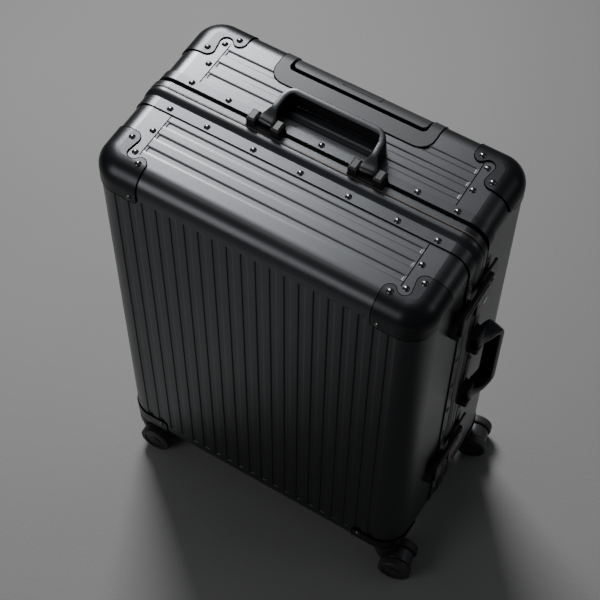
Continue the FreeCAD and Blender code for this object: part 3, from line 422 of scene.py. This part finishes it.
def land(points, axis, depth):
    """Slide points along one axis, outwards from the case's middle, onto its surface, by halving."""
    near, far = points.copy(), points.copy()
    near[:, axis] = case_middle if axis == 2 else 0
    far[:, axis] = np.sign(points[:, axis] - near[:, axis]) + near[:, axis]
    for _ in range(40):
        mid = (near + far) / 2
        inside = outside_case(mid, depth) < 0
        near[inside], far[~inside] = mid[inside], mid[~inside]
    return near


def out_of(points, depth):
    """Outward direction at each point: the slope of outside_case by central differences."""
    step = 1e-5
    slope = np.stack([outside_case(points + shift, depth) - outside_case(points - shift, depth)
                      for shift in step * np.eye(3)], 1)
    return slope / np.linalg.norm(slope, axis=1, keepdims=True)


def arc(centre, radius, start, stop, count=10):
    """Points centre + radius (cos, sin) from one angle to another, in degrees."""
    angle = np.radians(np.linspace(start, stop, count))
    return np.stack([centre[0] + radius * np.cos(angle), centre[1] + radius * np.sin(angle)], 1)


def evenly(points, step):
    """The same closed line with its points a step apart, each between two of its own by distance."""
    closed = np.vstack([points, points[:1]])
    length = np.concatenate([[0], np.cumsum(np.linalg.norm(np.diff(closed, axis=0), axis=1))])
    at = np.linspace(0, length[-1], int(length[-1] / step) + 1)[:-1]
    return np.stack([np.interp(at, length, closed[:, k]) for k in range(3)], 1)


def grid_object(name, points, wrap=(False, True), capped=(False, False), closed=True):
    """Mesh of quads from a grid of points; wrap joins the last row or column to the first, and
    capped closes the first or last row with one face."""
    rows, columns = points.shape[:2]
    i = np.arange(rows if wrap[0] else rows - 1)[:, None]
    j = np.arange(columns if wrap[1] else columns - 1)[None]
    i1, j1 = (i + 1) % rows, (j + 1) % columns
    faces = np.stack([i * columns + j, i1 * columns + j, i1 * columns + j1, i * columns + j1], -1)
    faces = faces.reshape(-1, 4).tolist()
    if capped[0]:
        faces.append(list(range(columns)))
    if capped[1]:
        faces.append(list(range(rows * columns - 1, (rows - 1) * columns - 1, -1)))
    return mesh_object(name, points.reshape(-1, 3), faces, closed=closed)


def swept_loop(name, line, out, profile):
    """Closed tube round a closed line: each point is line + sideways * side + outwards * out, where
    side is the line's direction crossed with out and profile holds (sideways, outwards)."""
    along = np.roll(line, -1, 0) - np.roll(line, 1, 0)
    along /= np.linalg.norm(along, axis=1, keepdims=True)
    side = np.cross(along, out)
    side /= np.linalg.norm(side, axis=1, keepdims=True)
    points = line[:, None] + side[:, None] * profile[None, :, :1] + out[:, None] * profile[None, :, 1:]
    return grid_object(name, points, wrap=(True, True))


def protector_edge(depth):
    """Edge of the upper right protector of a half this deep, as points with y positive: across the
    top round its tongue and lobes, over the side rim, down the side, round the corner and back up
    the large face."""
    corner = (half_width - upright_radius, depth - upright_radius)
    tongue = np.vstack([arc((0.167, 0.1095), 0.010, 180, 270),
                        arc((0.17952, 0.0989), 0.0086, 158.9, -9.4, 16), [(0.1850, 0.0807)],
                        arc((0.195, 0.0807), 0.010, 180, 270)])
    top = land(np.column_stack([tongue, np.full(len(tongue), case_high)]), 2, depth)
    turn = np.radians(np.linspace(5, 78.9, 12))
    over = np.column_stack([half_width - rim_radius * (1 - np.sin(turn)), np.linspace(0.0705, 0.069, 12),
                            case_high - rim_radius * (1 - np.cos(turn))])
    slant = np.array([(0.069, 0.021), (0.0795, 0.0275), (0.090, 0.034), (0.103, 0.0385), (0.116, 0.043)])
    side = np.column_stack([np.full(len(slant), half_width), slant[:, 0], case_high - slant[:, 1]])
    side = land(side, 0, depth)
    first = math.degrees(math.asin((slant[-1, 0] - corner[1]) / upright_radius))
    bend = arc(corner, upright_radius, first + 2, 90, 14)
    low = np.column_stack([np.vstack([bend, [(0.161, depth)], [(0.1582, depth)]]),
                           case_high - np.append(np.full(len(bend) + 1, slant[-1, 1]), 0.0418)])
    up = np.radians(np.linspace(90, 7, 12))
    front = np.column_stack([np.full(12, 0.157), depth - rim_radius * (1 - np.sin(up)),
                             case_high - rim_radius * (1 - np.cos(up))])
    return np.vstack([top, over, side, low, [(0.157, depth, case_high - 0.039)], front])


corners = [(f"{body}_{side}_{height}", body, np.array([sx, sy, sz]))
           for body, sy in (("lid", -1), ("case", 1))
           for side, sx in (("right", 1), ("left", -1))
           for height, sz in (("upper", 1), ("lower", -1))]
from_middle = np.array([0, 0, case_middle])
for corner_name, body, signs in corners:
    # Each protector gets a painted shadow line along its edge.
    edge = evenly(protector_edge(half_depths[body]), line_step)
    line = (edge - from_middle) * signs + from_middle
    shadow_line = swept_loop(f"{corner_name}_gasket", line, out_of(line, half_depths[body]), shadow_line_profile)
    shadow_line.data.materials.append(shadow_line_material)
    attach(shadow_line, body)

depth = half_depths["case"]
bezel_half_width, bezel_corner, bezel_front = 0.109, 0.020, 0.080
bezel_centre = (bezel_half_width - bezel_corner, bezel_front + bezel_corner)
below_top = np.array([0.0265, 0.031, 0.036])
over_rim = np.radians(np.linspace(0, 85, 10))
bezel_right = np.vstack([
    np.column_stack([arc(bezel_centre, bezel_corner, 270, 360), np.full(10, case_high)]),
    np.column_stack([np.full(10, bezel_half_width), depth - rim_radius * (1 - np.sin(over_rim)),
                     case_high - rim_radius * (1 - np.cos(over_rim))]),
    np.column_stack([np.full(3, bezel_half_width), np.full(3, depth), case_high - below_top])])
# Painted shadow line round the bezel.
line = evenly(np.vstack([bezel_right[::-1] * (-1, 1, 1), bezel_right]), line_step)
shadow_line = swept_loop("bezel_shadow_line", line, out_of(line, depth), shadow_line_profile * (1, bezel_shadow_line_height))
shadow_line.data.materials.append(shadow_line_material)
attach(shadow_line, "case")

# ---- painted shade in the side seams ----
# A near-black strip in the gap between each side sheet and the shell, on the top and the bottom: painted
# shade standing for the dark gap, a low strip of trapezium section.
seam_x, seam_y = 0.1735, (0.0315, 0.0970)
seam_section = np.array([(-0.9, -0.6), (-0.6, 0.2), (0.6, 0.2), (0.9, -0.6)]) / 1000
for corner_name, body, signs in corners:
    points = np.empty((24, 4, 3))
    points[..., 0] = seam_x + seam_section[:, 0]
    points[..., 1] = np.linspace(*seam_y, 24)[:, None]
    points[..., 2] = half_height + seam_section[:, 1]
    # Painted shade: each strip is near black and stands for the shadow in the seam's gap.
    seal = grid_object(f"{corner_name}_seam_shadow", points * signs + from_middle, capped=(True, True))
    seal.data.materials.append(shadow_line_material)
    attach(seal, body)

# ---- frame strips ----
# A near-black strip in the channel beside the rear bead, painted shade standing for the deep channel's
# shadow, and a fine knurled strip beside the parting line, both running right round the frame.
channel_shade_material, tree, shader = new_material("painted_channel_shade", (0.002, 0.002, 0.002), 0.0, 0.9)
# Painted shade: almost no specular, so the channel reads black even in the lamp's sheen.
shader.inputs["Specular IOR Level"].default_value = 0.01
add_grain(tree, shader, fine=700.0, patch=30.0, low=0.62, high=0.75, depth=0.00004)
knurl_material, tree, shader = new_material("knurled_strip", (0.10, 0.085, 0.07), 0.6, 0.45)
add_grain(tree, shader, stretch=(1, 0.2, 1), fine=900.0, patch=40.0, low=0.45, high=0.6, depth=0.0001)


def round_frame(name, profile):
    """Band round the frame from a profile of (y, outwards from the shell) in millimetres: each point
    is a rim corner's centre + (rim_radius + outwards) (cos, sin), over four quarter turns."""
    steps = 14
    centre = np.array([half_width - rim_radius, half_height - rim_radius])
    signs = np.repeat([(1, 1), (-1, 1), (-1, -1), (1, -1)], steps, axis=0)
    base = signs * centre + (0, case_middle)
    angle = (np.arange(4)[:, None] * np.pi / 2 + np.linspace(0, np.pi / 2, steps)).ravel()
    out = np.column_stack([np.cos(angle), np.sin(angle)])
    shape = np.asarray(profile) / 1000
    ring = base[:, None] + out[:, None] * (rim_radius + shape[None, :, 1:])
    points = np.stack([ring[..., 0], np.broadcast_to(shape[:, 0], ring.shape[:2]), ring[..., 1]], -1)
    return grid_object(name, points, wrap=(True, True))


# Painted channel shade, running right round the frame.
channel_shade_strip = round_frame("channel_shade_strip", [(12.3, 0.7), (12.3, 1.2), (12.6, 1.4),
                                              (18.4, 1.4), (18.8, 1.2), (18.8, 0.7)])
channel_shade_strip.data.materials.append(channel_shade_material)
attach(channel_shade_strip, "case")
knurled = round_frame("knurled_strip", [(1.1, 3.3), (1.1, 3.62), (1.4, 3.75),
                                        (2.4, 3.75), (2.7, 3.62), (2.7, 3.3)])
knurled.data.materials.append(knurl_material)
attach(knurled, "case")

# ---- carry handles ----
# Each handle is one moulded band bent into a bridge: narrow at its two pivots and broad at the
# grip, with every edge rounded, in a satin black coat.  It stands for the plain flat bridge.
grip_material, tree, shader = new_material("satin_grip", (0.085, 0.087, 0.093), 0.95, 0.36)
add_grain(tree, shader, fine=1600.0, patch=25.0, low=0.30, high=0.40, depth=0.00003)
coat(grip_material, ("top_handle", "side_handle"))
band_foot, band_grip, pivot_rise = 0.0214, 0.009, 0.0115
heel_depth, heel_round = 0.0035, 0.004
narrow, broadening = 0.012, 0.009
side_handle_rise = 0.035


def rounded_square(count, power):
    """Points (cos, sin) round a circle, each raised to a power and keeping its sign: a circle at 1,
    squarer as the power falls."""
    angle = np.linspace(0, 2 * np.pi, count, endpoint=False)
    circle = np.column_stack([np.cos(angle), np.sin(angle)])
    return np.sign(circle) * np.abs(circle) ** power


def band_handle(name, reach, lean, skirt, to_frame):
    """Rounded rectangle carried along a U.  Grown is a smooth step of the height u above the pivots
    from 3 mm to 21 mm; thickness goes from foot to grip with it, and breadth is
    narrow + (broadening + skirt) * grown, with the skirt on the case's side.  The U leans by lean."""
    foot_x, top_x, bend = 0.0685, 0.0647, 0.012
    line_reach = reach - band_grip / 2
    leg = np.column_stack([np.linspace(foot_x, top_x + 0.001, 16),
                           np.linspace(-heel_depth, line_reach - bend, 16)])
    half = np.vstack([leg, arc((top_x - bend, line_reach - bend), bend, 0, 90, 12)[1:]])
    grip = np.column_stack([np.linspace(half[-1, 0], -half[-1, 0], 30)[1:-1], np.full(28, line_reach)])
    path = np.vstack([half, grip, (half * (-1, 1))[::-1]])
    along = np.gradient(path, axis=0)
    along /= np.linalg.norm(along, axis=1, keepdims=True)
    inward = np.column_stack([along[:, 1], -along[:, 0]])
    grown = np.clip((path[:, 1] - 0.003) / 0.018, 0, 1)
    grown = grown * grown * (3 - 2 * grown)
    thick = band_foot + (band_grip - band_foot) * grown
    heel = np.clip((path[:, 1] + heel_depth) / heel_round, 0, 1)
    broad = (narrow + (broadening + skirt) * grown) * (0.6 + 0.4 * np.sqrt(heel))
    section = rounded_square(28, 0.35)
    flat = path[:, None] + inward[:, None] * (section[None, :, :1] * thick[:, None, None] / 2)
    x, u = flat[..., 0], flat[..., 1]
    n = section[None, :, 1] * broad[:, None] / 2 - (skirt * grown / 2)[:, None]
    cos, sin = math.cos(math.radians(lean)), math.sin(math.radians(lean))
    points = to_frame(np.stack([x, u * cos - n * sin, u * sin + n * cos], -1))
    band = grid_object(name, points, capped=(True, True))
    band.data.materials.append(grip_material)
    return band


def on_top(local):
    """Pivot axes to the top face: moved to the pivots."""
    return local + np.array([0, pivot_rise, case_high + pivot_rise])


def on_side(local):
    """Pivot axes to the right-hand face: (x, y, z) turned to (z, y, -x) and moved to the pivots."""
    turned = np.stack([local[..., 2], local[..., 1], -local[..., 0]], -1)
    return turned + np.array([half_width + pivot_rise, pivot_rise, case_middle + side_handle_rise])


top_band = band_handle("top_carry_handle", 0.054, 9, 0.0078, on_top)
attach(top_band, "top_handle")
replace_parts(top_band, "top_handle")
side_band = band_handle("side_carry_handle", 0.042, 16, 0.002, on_side)
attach(side_band, "side_handle")
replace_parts(side_band, "side_handle")

# ---- quilted linings ----
# Padded polyester lining glued inside each half and quilted in diamonds: a tray whose walls run up
# to the frame.  It stands for the plain CAD lining.
def build_weave():
    """Height of a woven cloth: the higher of two waves, one along Warp and one along Weft.  A wave
    rises and falls along the dot product of its direction with the object coordinates."""
    tree, start, end = new_group("weave", [
        ("Warp", "NodeSocketVector", (1, 0, 0)), ("Weft", "NodeSocketVector", (0, 0, 1)),
        ("Scale", "NodeSocketFloat", 600.0)],
        [("Height", "NodeSocketFloat")])
    place = tree.nodes.new("ShaderNodeTexCoord")
    heights = []
    for direction in ("Warp", "Weft"):
        along = tree.nodes.new("ShaderNodeVectorMath")
        along.operation = "DOT_PRODUCT"
        tree.links.new(place.outputs["Object"], along.inputs[0])
        tree.links.new(start.outputs[direction], along.inputs[1])
        line = tree.nodes.new("ShaderNodeCombineXYZ")
        tree.links.new(along.outputs["Value"], line.inputs["X"])
        thread = tree.nodes.new("ShaderNodeTexWave")
        tree.links.new(line.outputs["Vector"], thread.inputs["Vector"])
        tree.links.new(start.outputs["Scale"], thread.inputs["Scale"])
        heights.append(thread.outputs["Fac"])
    tree.links.new(math_node(tree, "MAXIMUM", *heights), end.inputs["Height"])
    return tree


weave = build_weave()


def add_weave(tree, shader, warp, weft, scale, depth):
    """Put the weave group behind a shader's normal; depth is in metres."""
    node = tree.nodes.new("ShaderNodeGroup")
    node.node_tree = weave
    for socket, value in zip(("Warp", "Weft", "Scale"), (warp, weft, scale)):
        node.inputs[socket].default_value = value
    tree.links.new(add_bump(tree, node.outputs["Height"], depth).outputs["Normal"], shader.inputs["Normal"])


lining_material, tree, shader = new_material("quilted_lining", (0.20, 0.205, 0.22), 0.0, 0.85)
shader.inputs["Sheen Weight"].default_value = 0.4
add_weave(tree, shader, warp=(1, 0, 0), weft=(0, 0, 1), scale=600.0, depth=0.0002)
lining_gap = 0.0055
lining_rim = 0.0155
lining_thickness = 0.0014
quilt_pitch, quilt_rise = 0.042, 0.0038


def quilted_tray(name, body, floor_y, fold):
    """Inner face of a lining: rings run from the rim along the walls, round a fold and in to the
    middle of the floor.  Each point is drawn inwards by rise * |sin(pi a / pitch) sin(pi b / pitch)|
    ** 0.45, a and b being the sum and difference of the distances along the sheet."""
    depth = half_depths[body]
    around, wall, bend, ground = 420, 26, 10, 66
    half_x, half_z = half_width - lining_gap, half_height - lining_gap
    corner = rim_radius - lining_gap
    run_x, run_z = half_x - corner, half_z - corner
    share = np.linspace(0, 4, around, endpoint=False)
    quarter = np.floor(share).astype(int)
    part = np.where(quarter % 2 == 1, 1 - (share - quarter), share - quarter)
    place = part * (run_z + corner * np.pi / 2 + run_x)
    turn = np.clip((place - run_z) / corner, 0, np.pi / 2)
    ring_x = run_x + corner * np.cos(turn) - np.clip(place - run_z - corner * np.pi / 2, 0, run_x)
    ring_z = np.minimum(place, run_z) + corner * np.sin(turn)
    ring = np.column_stack([ring_x, ring_z]) * np.array([(1, 1), (-1, 1), (-1, -1), (1, -1)])[quarter]

    fold_turn = np.linspace(0, np.pi / 2, bend)
    inset = np.concatenate([np.zeros(wall), fold * (1 - np.cos(fold_turn)), np.full(ground - 1, fold)])
    shrink = np.concatenate([np.ones(wall + bend), np.linspace(1, 0.004, ground)[1:]])
    height = np.concatenate([np.linspace(lining_rim, floor_y - fold, wall, endpoint=False),
                             floor_y - fold * (1 - np.sin(fold_turn)), np.full(ground - 1, floor_y)])
    points = np.stack([np.outer(shrink * (1 - inset / half_x), ring[:, 0]),
                       np.broadcast_to(height[:, None], (len(height), around)),
                       np.outer(shrink * (1 - inset / half_z), ring[:, 1]) + case_middle], -1)
    flat = points.reshape(-1, 3)
    excess = np.maximum(outside_case(flat, depth) + lining_gap, 0)[:, None]
    flat = flat - out_of(flat, depth) * excess
    x, y, z = flat.T
    up_wall = np.where(y > floor_y - fold / 2, 0, y)
    seams = np.sin(np.pi * (x + z + up_wall) / quilt_pitch) * np.sin(np.pi * (x - z - up_wall) / quilt_pitch)
    inward = np.stack([-x, -(y - 0.02) * 1.5, -(z - case_middle) * 0.6], 1)
    inward /= np.maximum(np.linalg.norm(inward, axis=1, keepdims=True), 1e-6)
    flat = flat + inward * (np.abs(seams) ** 0.45 * quilt_rise)[:, None]
    if body == "lid":
        flat = flat * (1, -1, 1)
    tray = grid_object(name, flat.reshape(points.shape), capped=(False, True), closed=False)
    solid = tray.modifiers.new("thickness", "SOLIDIFY")
    solid.thickness = lining_thickness
    solid.offset = 0.0
    tray.data.materials.append(lining_material)
    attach(tray, body)
    return tray


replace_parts(quilted_tray("lid_quilted_lining", "lid", 0.1275, 0.030), "front_lining")
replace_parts(quilted_tray("base_quilted_lining", "case", 0.0989, 0.008), "rear_lining")

# ---- packing straps ----
# Two webbing straps crossed in each half, stitched along both edges, with a moulded buckle over
# the crossing.
web_material, tree, shader = new_material("black_webbing", (0.035, 0.035, 0.038), 0.0, 0.75)
shader.inputs["Sheen Weight"].default_value = 0.3
add_weave(tree, shader, warp=(0.5, 0.5, 0.5), weft=(0.5, 0.5, 0.5), scale=420.0, depth=0.0004)
strap_reach, strap_rise, strap_width, strap_thick = 0.2182, 0.215, 0.038, 0.0013
strap_y, strap_lap = 0.0236, 0.0016
buckle_half = np.array([0.027, 0.0195])
strap_edge = np.array([(1, 0.25), (0.985, 0.45), (0.9, 0.5), (0.86, 0.36), (0.82, 0.5)])
strap_section = np.vstack([(strap_edge * (-1, 1)), strap_edge[::-1],
                           [(1, -0.25), (0.985, -0.5), (-0.985, -0.5), (-1, -0.25)]])


def webbing(name, body, lean, over):
    """Ribbon along a diagonal of the case, its edges stitched down; where it crosses the other it
    rises by over * exp(-(t / 0.12) ** 2), t running from -1 to 1."""
    t = np.linspace(-1, 1, 160)
    centre = np.column_stack([t * strap_reach, strap_y - over * np.exp(-(t / 0.12) ** 2),
                              case_middle + lean * t * strap_rise])
    half_length = math.hypot(strap_reach, strap_rise)
    side = np.array([-lean * strap_rise / half_length, 0, strap_reach / half_length])
    shape = strap_section * (strap_width / 2, strap_thick)
    points = centre[:, None] + side * shape[None, :, :1] + np.array([0, -1, 0]) * shape[None, :, 1:]
    if body == "lid":
        points = points * (1, -1, 1)
    strap = grid_object(name, points, capped=(True, True))
    strap.data.materials.append(web_material)
    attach(strap, body)
    return strap


for body, node in (("lid", "front_straps"), ("case", "rear_straps")):
    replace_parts(webbing(f"{body}_strap_under", body, 1, 0.0), node)
    webbing(f"{body}_strap_over", body, -1, strap_lap)
    side = -1 if body == "lid" else 1
    oval = rounded_square(48, 0.45) * buckle_half
    levels = np.array([(0.90, 0.0222), (1.0, 0.0212), (1.0, 0.0172),
                       (0.92, 0.0158), (0.70, 0.0154), (0.62, 0.0162)])
    rings = np.empty((len(levels), len(oval), 3))
    rings[..., 0] = oval[:, 0] * levels[:, :1]
    rings[..., 1] = side * levels[:, 1:]
    rings[..., 2] = case_middle + oval[:, 1] * levels[:, :1]
    buckle = grid_object(f"{body}_strap_buckle", rings, capped=(True, True))
    buckle.data.materials.append(plastic_material)
    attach(buckle, body)
